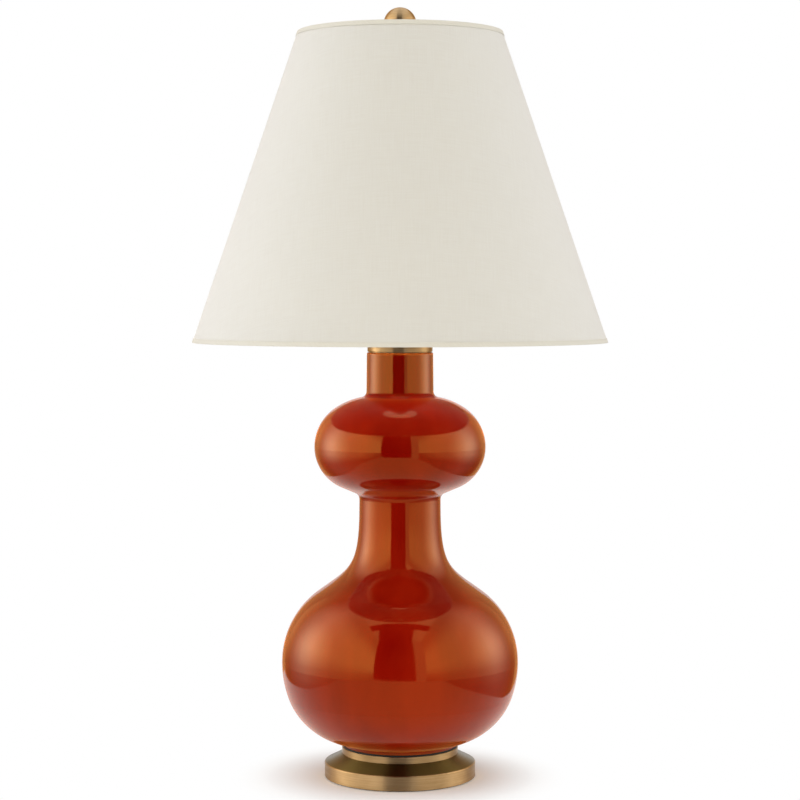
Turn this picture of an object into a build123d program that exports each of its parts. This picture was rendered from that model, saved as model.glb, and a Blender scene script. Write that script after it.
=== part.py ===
from build123d import *

import os
from math import acos, atan2, cos, degrees, pi, radians, sin, sqrt, tan

# Double gourd ceramic table lamp with a hardback empire shade.
# Millimetres. +Z up, the origin on the lamp's axis at the underside of the felt, the front faces -Y.
# A turned or spun piece is a profile of (radius, height) points, revolved about the lamp's axis.

# ---------------------------------------------------------------- clearances
slip_gap = 0.10            # nested pieces of one body, measured on the radius
running_gap = 0.08         # a shaft in its hole, measured on the radius
seat_gap = 0.20            # faces of two pieces that move on each other

# ---------------------------------------------------------------- brass base
felt_thickness = 1.5
rim_lift = 0.5             # the brass rim stands this far above the table
base_radius = 75.3
base_wall = 2.2
band_height = 14.2
bevel_height = 8.6
band_edge = 0.9
rim_edge = 0.6
ledge_width = 7.0          # turned-in foot that the felt is glued to
ledge_thickness = 1.2

seat_ring_radius = 57.9
seat_ring_height = 6.7
seat_ring_wall = 5.0
seat_ring_web = 2.6
seat_ring_edge = 0.5
seat_ring_cove = 0.7       # undercut at the ring's foot, which draws its shadow line

gasket_inset = 0.9         # drawn in from the ring's edge
gasket_width = 15.0
gasket_thickness = 1.6

weight_radius = 56.0
weight_thickness = 6.0
weight_edge = 1.0

cord_bore_radius = 3.5
bushing_wall = 1.2
bushing_flange_width = 1.3
bushing_flange_thickness = 1.4
bushing_reach = 2.0        # sleeve standing into the base
bushing_height = 7.6       # axis of the cord outlet above the table

# ---------------------------------------------------------------- ceramic body
ceramic_wall = 6.0
foot_radius = 56.3
foot_fillet = 1.0
foot_hole_radius = 16.0

belly_radius = 117.8       # large gourd at its equator
belly_rise = 83.3          # its equator above the ceramic's foot
belly_upper_arc = 86.3
belly_upper_sweep = 53.4   # degrees of the upper arc, from the equator
belly_side_arc = 104.2
belly_side_sweep = 19.4    # degrees of the lower side, from the equator
belly_under_arc = 69.3

waist_radius = 40.5
waist_upright = 8.8        # straight stretch below the small gourd's flare
waist_pull_low = 0.419     # handle of the waist's sweep along the belly, as a share of its chord
waist_pull_high = 0.670    # handle along the upright of the waist
waist_fillet = 7.0

top_gourd_radius = 85.2    # small gourd at its equator
top_gourd_rise = 214.5     # its equator above the large gourd's
top_gourd_upper_arc = 46.6
top_gourd_upper_sweep = 56.6
top_gourd_crown_arc = 73.0
top_gourd_lower_arc = 43.0
top_gourd_lower_sweep = 66.8

neck_root_radius = 33.4
neck_lip_radius = 32.95
neck_fillet = 6.0
neck_rise = 94.0           # lip above the small gourd's equator
lip_edge = 1.4

centring_flange = 24.0
centring_thickness = 1.4
centring_spigot = 5.0

# ---------------------------------------------------------------- neck fittings
cap_radius = 32.4
cap_thickness = 7.0
cap_edge = 1.0
cap_shadow_gap = 0.5       # rebate under the cap's edge, above the glazed lip
cap_shadow_depth = 1.6
cap_plate = 2.4
cap_spigot_depth = 8.0
cap_spigot_wall = 2.2

pipe_radius = 5.1
pipe_bore_radius = 3.3
pipe_tail = 0.5            # thread left showing under the lower nut
pipe_engagement = 6.0      # thread inside the socket's hub

nut_across_flats = 14.3
nut_thickness = 3.5
nut_chamfer = 0.5
lock_washer_radius = 14.0
lock_washer_thickness = 1.5

riser_height = 16.6
riser_foot_radius = 13.0
riser_waist_radius = 9.8
riser_top_radius = 11.0
riser_flange = 2.0
riser_waist_round = 4.0
riser_nut_room = 0.4       # space round and above the nut in the riser's counterbore

# ---------------------------------------------------------------- harp
saddle_strip = 1.6
saddle_width = 10.0
saddle_hub_radius = 8.5    # round pad about the hole for the pipe
saddle_half_span = 26.0    # to the middle of each upright
saddle_bend = 8.0
saddle_shoulder = 15.0     # height of the shoulders that the ferrules stop on
saddle_tip_width = 3.6
saddle_tip_height = 9.0

harp_height = 279.4        # eleven inch harp, from the saddle's underside to its seat
harp_wire_radius = 1.6
harp_half_width = 55.0
harp_foot_straight = 26.0  # upright stretch that the ferrules ride on
harp_flare_arc = 60.0
harp_crown_flat = 16.0     # straight run through the stud

ferrule_length = 12.0
ferrule_bore_radius = 3.15
ferrule_wall = 0.85
ferrule_bead = 0.6
ferrule_bead_height = 1.8
ferrule_bead_round = 0.5

stud_radius = 3.15
stud_length = 10.0         # thread above the seat
stud_seat_radius = 7.0
stud_seat_thickness = 2.4
stud_collar_radius = 4.6
stud_collar_depth = 5.2
stud_edge = 0.5

# ---------------------------------------------------------------- shade
shade_bottom_radius = 205.8
shade_top_radius = 101.4
shade_height = 305.4
shade_skin = 1.0
hem_height = 4.4
hem_skin = 0.5
hem_round = 0.4
ring_wire_radius = 1.5
spider_arm_count = 3
spider_first_arm = 90.0    # one arm points straight back
spider_wire_radius = 1.5
spider_drop = 10.8         # top of the washer below the shade's rim
spider_flat_run = 26.0     # the arms leave the washer level, then rise to the ring
spider_bend = 12.0
spider_start_radius = 8.6
spider_washer_radius = 12.5
spider_washer_hole = 5.55
spider_washer_thickness = 1.6

# ---------------------------------------------------------------- finial
finial_ball_radius = 16.2
finial_neck_radius = 4.6
finial_neck_height = 1.7
finial_foot_radius = 7.2
finial_foot_thickness = 1.4
finial_foot_edge = 0.5
finial_tenon_radius = 4.9
finial_tenon_length = 7.5
finial_thread_depth = 9.6

# ---------------------------------------------------------------- socket
socket_radius = 16.6
socket_wall = 0.6
socket_hub_radius = 7.4
socket_hub_height = 7.0
socket_cap_slope = 5.0     # rise of the cap's shoulder
socket_cap_height = 18.0
socket_cap_round = 2.5
socket_shell_height = 42.0
socket_overlap = 4.0       # the shell snaps into the cap
socket_bead = 0.8
socket_bead_drop = 12.0    # bead below the shell's mouth
liner_wall = 0.8
screw_shell_radius = 13.9
screw_shell_wall = 0.5
screw_shell_height = 24.0
block_radius = 13.6
block_lift = 12.8          # insulating block above the socket's foot
block_height = 17.2
block_flat = 12.0          # flats that carry the terminal screws
block_edge = 0.8
contact_width = 5.0
contact_thickness = 0.4
contact_rise = 1.6
contact_length = 8.0
terminal_head_radius = 3.0
terminal_head_height = 1.6
terminal_shank_radius = 1.7
terminal_shank_length = 5.0
terminal_height = 8.0      # above the block's foot

switch_height = 23.0       # axis of the turn key above the socket's foot
switch_shaft_radius = 2.4
switch_shaft_depth = 6.0   # shaft inside the block's boss and bore
switch_boss_radius = 4.2
switch_boss_face = 18.6    # boss's face from the lamp's axis
knob_standoff = 1.0
knob_length = 13.0
knob_root_radius = 4.4
knob_tip_radius = 5.4
knob_edge = 0.8
knob_flute_count = 12
knob_flute_radius = 0.7
key_reach = 8.0            # shaft inside the knob

# ---------------------------------------------------------------- lamp bulb
lamp_length = 108.0        # from the contact to the crown of the glass
lamp_globe_radius = 30.0
lamp_globe_sweep = 42.0    # degrees of the globe below its widest point
lamp_throat_radius = 12.5
lamp_throat_pull = 0.45
lamp_glass_wall = 1.0
lamp_seal_depth = 3.0      # glass inside the metal cap
lamp_cap_radius = 13.0
lamp_cap_wall = 0.4
lamp_cap_height = 22.0
lamp_insulator_radius = 8.0
lamp_insulator_height = 3.0
lamp_contact_radius = 4.5
lamp_contact_height = 1.6
lamp_contact_edge = 0.7

# ---------------------------------------------------------------- heights, from the sizes above
band_top = rim_lift + band_height
base_top = band_top + bevel_height
web_under = base_top - base_wall
ring_top = base_top + seat_ring_height
ceramic_foot = ring_top + gasket_thickness
belly_level = ceramic_foot + belly_rise
top_gourd_level = belly_level + top_gourd_rise
lip_level = top_gourd_level + neck_rise
weight_under = web_under - weight_thickness
lower_nut_top = weight_under - lock_washer_thickness
lower_nut_under = lower_nut_top - nut_thickness
pipe_foot = lower_nut_under - pipe_tail

cap_top = lip_level + cap_thickness
saddle_foot = cap_top + riser_height
socket_foot = saddle_foot + saddle_strip
pipe_top = socket_foot + pipe_engagement

harp_seat = saddle_foot + harp_height
harp_crown = harp_seat - stud_seat_thickness - harp_wire_radius
harp_foot = saddle_foot + saddle_shoulder
harp_leg = saddle_half_span + saddle_strip / 2 + harp_wire_radius + slip_gap / 2
ferrule_axis = (saddle_half_span - saddle_strip / 2 + harp_leg + harp_wire_radius) / 2

washer_top = harp_seat + spider_washer_thickness
finial_foot = washer_top + seat_gap
finial_waist = finial_foot + finial_foot_thickness
finial_shoulder = finial_waist + finial_neck_height
finial_centre = finial_shoulder + sqrt(finial_ball_radius**2 - finial_neck_radius**2)

shade_rim = washer_top + spider_drop
shade_foot = shade_rim - shade_height
shade_lean = (shade_bottom_radius - shade_top_radius) / shade_height
shade_slant = sqrt(1 + shade_lean**2)
ring_depth = hem_skin + shade_skin + slip_gap + ring_wire_radius

socket_cap_top = socket_foot + socket_cap_height
shell_foot = socket_cap_top - socket_overlap
shell_top = shell_foot + socket_shell_height
block_foot = socket_foot + block_lift
block_top = block_foot + block_height
switch_axis = socket_foot + switch_height
liner_radius = socket_radius - socket_wall - slip_gap

lamp_foot = block_top + contact_rise + contact_thickness + seat_gap
insulator_foot = lamp_foot + lamp_contact_height
lamp_cap_foot = insulator_foot + lamp_insulator_height
lamp_cap_top = lamp_cap_foot + lamp_cap_height
lamp_crown = lamp_foot + lamp_length

base_up = (Align.CENTER, Align.CENTER, Align.MIN)
facing_front = Rot(90, 0, 0)    # turns a piece built along +Z to point along -Y
facing_back = Rot(-90, 0, 0)


# ---------------------------------------------------------------- helpers
def spin(face):
    """Solid of revolution of a half section about the lamp's axis."""
    return revolve(Plane.XZ * face, Axis.Z)


def section(*corners):
    """Closed outline of (radius, height) or (radius, height, rounding) corners."""
    points = [corner[:2] for corner in corners]
    roundings = [corner[2] if len(corner) == 3 else 0 for corner in corners]
    return make_face(FilletPolyline(*points, radius=roundings, close=True))


def turned(*corners):
    """Spin a closed outline of corners, given as section takes them."""
    return spin(section(*corners))


def sleeve(inner, outer, low, high):
    """Plain tube about the lamp's axis."""
    return turned((inner, low), (outer, low), (outer, high), (inner, high))


def arc_between(centre, radius, first, last):
    """Arc about centre from one angle to another, in degrees from +X."""
    return CenterArc(centre, radius, first, last - first)


def on_arc(centre, radius, angle):
    """Point of that arc at an angle in degrees."""
    return (centre[0] + radius * cos(radians(angle)), centre[1] + radius * sin(radians(angle)))


def round_corners(face, radius, *points):
    """Fillet the corners of a flat face that lie nearest to some points."""
    corners = [face.vertices().sort_by_distance(Vector(*point))[0] for point in points]
    return fillet(corners, radius)


def hex_nut(low):
    """Hexagon nut on the lamp pipe, its corners taken off by a cone on both faces."""
    flat_radius = nut_across_flats / 2
    corner_radius = flat_radius / cos(radians(30))
    high = low + nut_thickness
    blank = extrude(RegularPolygon(flat_radius, 6, major_radius=False), nut_thickness)
    cone_faces = turned(
        (pipe_radius + slip_gap, low),
        (flat_radius, low),
        (corner_radius, low + nut_chamfer),
        (corner_radius, high - nut_chamfer),
        (flat_radius, high),
        (pipe_radius + slip_gap, high),
    )
    return Pos(0, 0, low) * blank & cone_faces


# ---------------------------------------------------------------- base
def make_felt_pad():
    """Felt disc let into the underside of the base."""
    return Cylinder(base_radius - base_wall - slip_gap, felt_thickness, align=base_up)


def make_base_plinth():
    """Spun brass base: a band, a bevel, a web for the pipe and a turned-in foot for the felt."""
    lean = atan2(base_radius - seat_ring_radius, bevel_height)
    inside = base_radius - base_wall
    ledge = inside - ledge_width
    shell = turned(
        (base_radius, rim_lift, rim_edge),
        (base_radius, band_top, band_edge),
        (seat_ring_radius, base_top),
        (pipe_radius + slip_gap, base_top),
        (pipe_radius + slip_gap, web_under),
        (seat_ring_radius - base_wall * tan(pi / 4 - lean / 2), web_under),
        (inside, band_top - base_wall * tan(lean / 2)),
        (inside, felt_thickness + ledge_thickness),
        (ledge, felt_thickness + ledge_thickness),
        (ledge, felt_thickness),
        (inside, felt_thickness),
        (inside, rim_lift),
    )
    hole = Cylinder(cord_bore_radius + bushing_wall + slip_gap, base_radius, align=base_up)
    return shell - Pos(0, base_radius / 2, bushing_height) * facing_back * hole


def make_cord_bushing():
    """Bushing pressed into the rear of the band: a flange outside and a sleeve through the wall."""
    outer = cord_bore_radius + bushing_wall
    flange = outer + bushing_flange_width
    sleeve_end = base_radius - base_wall - bushing_reach
    flange_back = base_radius + slip_gap
    flange_face = flange_back + bushing_flange_thickness
    bushing = turned(
        (cord_bore_radius, sleeve_end),
        (outer, sleeve_end),
        (outer, flange_back),
        (flange, flange_back),
        (flange, flange_face, bushing_flange_thickness / 2),
        (cord_bore_radius, flange_face, bushing_wall / 3),
    )
    return Pos(0, 0, bushing_height) * facing_back * bushing


def make_seat_ring():
    """Turned brass ring with a cove at its foot; its web carries the ceramic."""
    inner = seat_ring_radius - seat_ring_wall
    coved = seat_ring_radius - seat_ring_cove
    return turned(
        (coved, base_top),
        (coved, base_top + seat_ring_cove, seat_ring_cove / 3),
        (seat_ring_radius, base_top + seat_ring_cove),
        (seat_ring_radius, ring_top, seat_ring_edge),
        (pipe_radius + slip_gap, ring_top),
        (pipe_radius + slip_gap, ring_top - seat_ring_web),
        (inner, ring_top - seat_ring_web),
        (inner, base_top),
    )


def make_base_gasket():
    """Flat gasket between the ring and the ceramic foot."""
    outer = seat_ring_radius - gasket_inset
    return sleeve(outer - gasket_width, outer, ring_top, ceramic_foot)


def make_base_weight():
    """Cast iron disc clamped under the web of the base."""
    bore = pipe_radius + slip_gap
    return turned(
        (bore, weight_under),
        (weight_radius, weight_under, weight_edge),
        (weight_radius, web_under, weight_edge),
        (bore, web_under),
    )


def make_lock_washer():
    """Washer between the weight and the lower nut."""
    return sleeve(pipe_radius + slip_gap, lock_washer_radius, lower_nut_top, weight_under)


def make_lamp_pipe():
    """Threaded hollow rod that ties the lamp together, from the base to the socket."""
    return sleeve(pipe_bore_radius, pipe_radius, pipe_foot, pipe_top)


# ---------------------------------------------------------------- ceramic
def waist_corner(inset):
    """Corner where the small gourd's flare meets the upright of the waist."""
    lower_centre = (top_gourd_radius - top_gourd_lower_arc, top_gourd_level)
    flare_top = on_arc(lower_centre, top_gourd_lower_arc - inset, -top_gourd_lower_sweep)
    upright = waist_radius - inset
    return (upright, flare_top[1] - (flare_top[0] - upright) / tan(radians(top_gourd_lower_sweep)))


def gourd_section(inset):
    """Half section of the double gourd, filled to the axis and drawn in by inset from the glaze."""
    under_arc = belly_under_arc - inset
    side_arc = belly_side_arc - inset
    upper_arc = belly_upper_arc - inset
    foot = (foot_radius - inset, ceramic_foot + inset)
    side_centre = (belly_radius - belly_side_arc, belly_level)
    side_start = on_arc(side_centre, side_arc, -belly_side_sweep)
    under_centre = on_arc(side_start, -under_arc, -belly_side_sweep)
    foot_angle = -degrees(acos((foot[0] - under_centre[0]) / under_arc))
    foot_join = on_arc(under_centre, under_arc, foot_angle)

    shoulder_centre = (belly_radius - belly_upper_arc, belly_level)
    shoulder = on_arc(shoulder_centre, upper_arc, belly_upper_sweep)
    waist = (waist_radius - inset, waist_corner(0)[1] - waist_upright)
    chord = sqrt((shoulder[0] - waist[0]) ** 2 + (shoulder[1] - waist[1]) ** 2)
    shoulder_handle = on_arc(shoulder, waist_pull_low * chord, belly_upper_sweep + 90)
    waist_handle = (waist[0], waist[1] - waist_pull_high * chord)

    lower_arc = top_gourd_lower_arc - inset
    lower_centre = (top_gourd_radius - top_gourd_lower_arc, top_gourd_level)
    lower_start = on_arc(lower_centre, lower_arc, -top_gourd_lower_sweep)
    flare_foot = waist_corner(inset)

    side_upper_arc = top_gourd_upper_arc - inset
    crown_arc = top_gourd_crown_arc - inset
    upper_centre = (top_gourd_radius - top_gourd_upper_arc, top_gourd_level)
    crown_start = on_arc(upper_centre, side_upper_arc, top_gourd_upper_sweep)
    crown_centre = on_arc(crown_start, -crown_arc, top_gourd_upper_sweep)
    neck_angle = degrees(acos((neck_root_radius - inset - crown_centre[0]) / crown_arc))
    neck_root = on_arc(crown_centre, crown_arc, neck_angle)
    lip = (neck_lip_radius - inset, lip_level)

    form = make_face([
        Line((0, foot[1]), foot),
        Line(foot, foot_join),
        arc_between(under_centre, under_arc, foot_angle, -belly_side_sweep),
        arc_between(side_centre, side_arc, -belly_side_sweep, 0),
        arc_between(shoulder_centre, upper_arc, 0, belly_upper_sweep),
        Bezier(shoulder, shoulder_handle, waist_handle, waist),
        Line(waist, flare_foot),
        Line(flare_foot, lower_start),
        arc_between(lower_centre, lower_arc, -top_gourd_lower_sweep, 0),
        arc_between(upper_centre, side_upper_arc, 0, top_gourd_upper_sweep),
        arc_between(crown_centre, crown_arc, top_gourd_upper_sweep, neck_angle),
        Line(neck_root, lip),
        Line(lip, (0, lip_level)),
        Line((0, lip_level), (0, foot[1])),
    ])
    form = round_corners(form, waist_fillet + inset, flare_foot)
    return round_corners(form, neck_fillet + inset, neck_root)


def make_ceramic_body():
    """Slip-cast shell, open at the neck and with a hole in its foot."""
    drain = Pos(0, ceramic_foot) * Rectangle(foot_hole_radius * 2, ceramic_wall * 4)
    wall = gourd_section(0) - gourd_section(ceramic_wall) - drain
    lip_inside = (neck_lip_radius - ceramic_wall, lip_level)
    wall = round_corners(wall, lip_edge, (neck_lip_radius, lip_level), lip_inside)
    wall = round_corners(wall, foot_fillet, (foot_radius, ceramic_foot + ceramic_wall / 2))
    return spin(wall)


def make_foot_washer():
    """Washer with a spigot that centres the pipe in the hole of the ceramic foot."""
    bore = pipe_radius + slip_gap
    spigot = foot_hole_radius - 2 * slip_gap
    top = ring_top + centring_thickness
    return turned(
        (bore, ring_top),
        (centring_flange, ring_top),
        (centring_flange, top),
        (spigot, top),
        (spigot, top + centring_spigot, slip_gap),
        (bore, top + centring_spigot),
    )


# ---------------------------------------------------------------- neck fittings
def make_body_cap():
    """Brass cap on the ceramic lip, located by a spigot in the neck."""
    rebate = cap_radius - cap_shadow_depth
    spigot = neck_lip_radius - ceramic_wall - 3 * slip_gap
    hollow = spigot - cap_spigot_wall
    return turned(
        (hollow, lip_level - cap_spigot_depth),
        (spigot, lip_level - cap_spigot_depth),
        (spigot, lip_level),
        (rebate, lip_level),
        (rebate, lip_level + cap_shadow_gap),
        (cap_radius, lip_level + cap_shadow_gap, cap_edge),
        (cap_radius, cap_top, cap_edge),
        (pipe_radius + slip_gap, cap_top),
        (pipe_radius + slip_gap, cap_top - cap_plate),
        (hollow, cap_top - cap_plate),
    )


def make_riser():
    """Turned brass neck under the harp, counterbored for the nut that holds the cap."""
    nut_radius = nut_across_flats / 2 / cos(radians(30)) + riser_nut_room
    nut_roof = cap_top + nut_thickness + riser_nut_room
    return turned(
        (nut_radius, cap_top),
        (riser_foot_radius, cap_top),
        (riser_foot_radius, cap_top + riser_flange, riser_flange / 3),
        (riser_waist_radius, cap_top + riser_height / 2, riser_waist_round),
        (riser_top_radius, saddle_foot - riser_flange, riser_flange / 3),
        (riser_top_radius, saddle_foot),
        (pipe_radius + slip_gap, saddle_foot),
        (pipe_radius + slip_gap, nut_roof),
        (nut_radius, nut_roof),
    )


# ---------------------------------------------------------------- harp
def make_harp_saddle():
    """Steel strip under the socket, bent up into two uprights that end in narrow tips."""
    middle = saddle_foot + saddle_strip / 2
    tip_top = harp_foot + saddle_tip_height
    path = FilletPolyline(
        (-saddle_half_span, tip_top),
        (-saddle_half_span, middle),
        (saddle_half_span, middle),
        (saddle_half_span, tip_top),
        radius=saddle_bend,
    )
    strip = make_face(path.offset_2d(saddle_strip / 2, side=Side.BOTH).edges())
    saddle = extrude(Plane.XZ * strip, saddle_width / 2, both=True)
    saddle += sleeve(0, saddle_hub_radius, saddle_foot, socket_foot)
    side_cut = Box(saddle_half_span, saddle_width, saddle_tip_height * 2, align=base_up)
    for side in (-1, 1):
        for edge in (-1, 1):
            offset_y = edge * (saddle_tip_width + saddle_width) / 2
            saddle -= Pos(side * saddle_half_span, offset_y, harp_foot) * side_cut
    return saddle - sleeve(0, pipe_radius + slip_gap, saddle_foot, socket_foot)


def make_harp_bow():
    """Wire bow: upright feet, a flare of two equal arcs, straight sides and an arched crown."""
    shift = harp_half_width - harp_leg
    flare_angle = degrees(acos(1 - shift / (2 * harp_flare_arc)))
    crown_arc = harp_half_width - harp_crown_flat / 2
    foot = (harp_leg, harp_foot + seat_gap)
    flare_start = (harp_leg, harp_foot + harp_foot_straight)
    outward = JernArc(flare_start, (0, 1), harp_flare_arc, -flare_angle)
    upright = JernArc(outward @ 1, outward % 1, harp_flare_arc, flare_angle)
    side_top = (harp_half_width, harp_crown - crown_arc)
    crown = JernArc(side_top, (0, 1), crown_arc, 90)
    half = [
        Line(foot, flare_start),
        outward,
        upright,
        Line(upright @ 1, side_top),
        crown,
        Line(crown @ 1, (0, harp_crown)),
    ]
    right = Wire([Plane.XZ * edge for edge in half])
    start = Plane(origin=(foot[0], 0, foot[1]), z_dir=(0, 0, 1))
    limb = sweep(start * Circle(harp_wire_radius), right)
    return limb + mirror(limb, Plane.YZ)


def make_harp_stud():
    """Threaded stud with a round seat; the bow's crown passes through its collar."""
    collar_foot = harp_seat - stud_seat_thickness - stud_collar_depth
    stud = turned(
        (0, collar_foot),
        (stud_collar_radius, collar_foot, stud_edge),
        (stud_collar_radius, harp_seat - stud_seat_thickness),
        (stud_seat_radius, harp_seat - stud_seat_thickness),
        (stud_seat_radius, harp_seat, stud_edge),
        (stud_radius, harp_seat),
        (stud_radius, harp_seat + stud_length, stud_edge),
        (0, harp_seat + stud_length),
    )
    cross_hole = Cylinder(harp_wire_radius + slip_gap, stud_collar_radius * 3)
    return stud - Pos(0, 0, harp_crown) * Rot(0, 90, 0) * cross_hole


def make_ferrule(side):
    """Sleeve with a rolled bead that locks one leg of the bow to the saddle's tip."""
    outer = ferrule_bore_radius + ferrule_wall
    beaded = outer + ferrule_bead
    ferrule = turned(
        (ferrule_bore_radius, 0),
        (beaded, 0, ferrule_bead_round),
        (beaded, ferrule_bead_height, ferrule_bead_round),
        (outer, ferrule_bead_height),
        (outer, ferrule_length, ferrule_wall / 2),
        (ferrule_bore_radius, ferrule_length),
    )
    return Pos(side * ferrule_axis, 0, harp_foot + seat_gap) * ferrule


# ---------------------------------------------------------------- shade
def cone(height, depth=0):
    """Radius of the shade at a height, at a depth inside the hems' outer face."""
    return shade_bottom_radius - (height - shade_foot) * shade_lean - depth * shade_slant


def make_shade_panel():
    """Laminated cone of the shade, its edges inside the hems."""
    low = shade_foot + hem_skin
    high = shade_rim - hem_skin
    outer = hem_skin
    inner = hem_skin + shade_skin
    return turned((cone(low, inner), low), (cone(low, outer), low),
                  (cone(high, outer), high), (cone(high, inner), high))


def make_hem(edge, up):
    """Folded tape over one edge of the shade and the wire ring inside it, slit for the spider."""
    inner = ring_depth + ring_wire_radius + slip_gap
    inside_edge = edge + up * hem_skin
    tape_end = edge + up * hem_height
    tape = turned(
        (cone(edge), edge, hem_round),
        (cone(tape_end), tape_end),
        (cone(tape_end, hem_skin), tape_end),
        (cone(inside_edge, hem_skin), inside_edge),
        (cone(inside_edge, inner), inside_edge),
        (cone(tape_end, inner), tape_end),
        (cone(tape_end, inner + hem_skin), tape_end),
        (cone(edge, inner + hem_skin), edge, hem_round),
    )
    for arm in spider_rods(spider_wire_radius + slip_gap):
        tape -= arm
    return tape


def ring_height(edge, up):
    """Height of the wire ring that lies in the fold of a hem."""
    return edge + up * (hem_skin + slip_gap + ring_wire_radius)


def make_wire_ring(edge, up):
    """Wire ring inside one hem."""
    height = ring_height(edge, up)
    return Pos(0, 0, height) * Torus(cone(height, ring_depth), ring_wire_radius)


def spider_rods(radius):
    """Rods from the washer to the top ring, level at first and then rising."""
    ring_level = ring_height(shade_rim, -1)
    ring_inside = cone(ring_level, ring_depth) - ring_wire_radius - slip_gap / 2
    level = washer_top + spider_wire_radius
    path = FilletPolyline(
        (spider_start_radius, level),
        (spider_flat_run, level),
        (ring_inside, ring_level),
        radius=spider_bend,
    )
    start = Plane(origin=(spider_start_radius, 0, level), z_dir=(1, 0, 0))
    rod = sweep(start * Circle(radius), Plane.XZ * path)
    return [
        Rot(0, 0, spider_first_arm + turn * 360 / spider_arm_count) * rod
        for turn in range(spider_arm_count)
    ]


def make_spider_arms():
    """The rods of the spider as one group."""
    rods = spider_rods(spider_wire_radius)
    return Compound(children=[solid for rod in rods for solid in rod.solids()])


def make_spider_washer():
    """Washer that the shade hangs by, over the harp's stud."""
    return sleeve(spider_washer_hole, spider_washer_radius, harp_seat, washer_top)


# ---------------------------------------------------------------- finial
def make_finial_base():
    """Tapped foot, neck and tenon of the finial."""
    bore = stud_radius + running_gap
    roof = finial_foot + finial_thread_depth
    tenon_top = finial_shoulder + finial_tenon_length
    return turned(
        (bore, finial_foot),
        (finial_foot_radius, finial_foot, finial_foot_edge),
        (finial_foot_radius, finial_waist, finial_foot_edge),
        (finial_neck_radius, finial_waist),
        (finial_neck_radius, finial_shoulder),
        (finial_tenon_radius, finial_shoulder),
        (finial_tenon_radius, tenon_top),
        (0, tenon_top),
        (0, roof),
        (bore, roof),
    )


def make_finial_ball():
    """Brass ball, bored from below for the tenon."""
    ball = Pos(0, 0, finial_centre) * Sphere(finial_ball_radius)
    socket_radius_in_ball = finial_tenon_radius + slip_gap
    mouth = finial_centre - finial_ball_radius
    roof = finial_shoulder + finial_tenon_length + slip_gap
    return ball - sleeve(0, socket_radius_in_ball, mouth, roof)


# ---------------------------------------------------------------- socket
def make_socket_cap():
    """Lower brass cup of the socket, with the threaded hub."""
    outer = socket_radius + slip_gap + socket_wall
    inner = socket_radius + slip_gap
    bore = pipe_radius + slip_gap
    shoulder_low = socket_foot + socket_hub_height
    shoulder_high = shoulder_low + socket_cap_slope
    rise = socket_cap_slope / (outer - socket_hub_radius)
    wall_up = socket_wall * sqrt(1 + rise**2)
    hub_top = shoulder_low + rise * (bore - socket_hub_radius) + wall_up
    inner_corner = shoulder_high - rise * (outer - inner) + wall_up
    return turned(
        (bore, socket_foot),
        (socket_hub_radius, socket_foot),
        (socket_hub_radius, shoulder_low, socket_cap_round),
        (outer, shoulder_high, socket_cap_round),
        (outer, socket_cap_top),
        (inner, socket_cap_top),
        (inner, inner_corner, socket_cap_round - socket_wall),
        (bore, hub_top),
    )


def key_hole(extra):
    """Cylinder along the turn key, its radius larger than the boss's by extra."""
    cylinder = Cylinder(switch_boss_radius + extra, socket_radius * 2, align=base_up)
    return Pos(0, 0, switch_axis) * facing_front * cylinder


def make_socket_shell():
    """Upper brass shell of the socket, beaded near its mouth, with the hole for the turn key."""
    inner = socket_radius - socket_wall
    bead = shell_top - socket_bead_drop
    shell = turned(
        (inner, shell_foot),
        (socket_radius, shell_foot),
        (socket_radius, bead - socket_bead),
        (socket_radius + socket_bead, bead, socket_bead / 2),
        (socket_radius, bead + socket_bead),
        (socket_radius, shell_top, socket_wall / 2),
        (inner, shell_top),
    )
    return shell - key_hole(2 * slip_gap)


def make_socket_liner():
    """Insulating sleeve inside the shell."""
    liner = sleeve(liner_radius - liner_wall, liner_radius, block_foot, shell_top - socket_wall)
    return liner - key_hole(2 * slip_gap)


def make_socket_block():
    """Insulating block with flats for the screws and a boss for the turn key."""
    block = turned(
        (0, block_foot),
        (block_radius, block_foot, block_edge),
        (block_radius, block_top),
        (0, block_top),
    )
    for side in (-1, 1):
        flat = Box(block_radius, block_radius * 2, block_height - block_edge * 2)
        middle = (block_foot + block_top) / 2
        block -= Pos(side * (block_flat + block_radius / 2), 0, middle) * flat
        shank = terminal_shank_length + slip_gap
        screw_hole = Cylinder(terminal_shank_radius + slip_gap, shank * 2)
        block -= Pos(side * block_flat, 0, block_foot + terminal_height) * Rot(0, 90, 0) * screw_hole
    boss = Cylinder(switch_boss_radius, switch_boss_face, align=base_up)
    block += Pos(0, 0, switch_axis) * facing_front * boss
    bore_start = switch_boss_face - switch_shaft_depth - slip_gap
    bore = Cylinder(switch_shaft_radius + running_gap, switch_boss_face, align=base_up)
    return block - Pos(0, -bore_start, switch_axis) * facing_front * bore


def make_screw_shell():
    """Rolled metal shell that the bulb screws into."""
    inner = screw_shell_radius - screw_shell_wall
    return sleeve(inner, screw_shell_radius, block_top, block_top + screw_shell_height)


def make_centre_contact():
    """Bent brass leaf on the block, under the bulb's contact."""
    crest = contact_rise + contact_thickness
    leaf = Polyline(
        (-contact_length, 0),
        (-contact_width, 0),
        (-contact_width / 2, contact_rise),
        (contact_width / 2, contact_rise),
        (contact_width / 2, crest),
        (-contact_width / 2, crest),
        (-contact_width, contact_thickness),
        (-contact_length, contact_thickness),
        close=True,
    )
    strip = extrude(Plane.XZ * make_face(leaf), contact_width / 2, both=True)
    return Pos(0, 0, block_top) * strip


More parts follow.
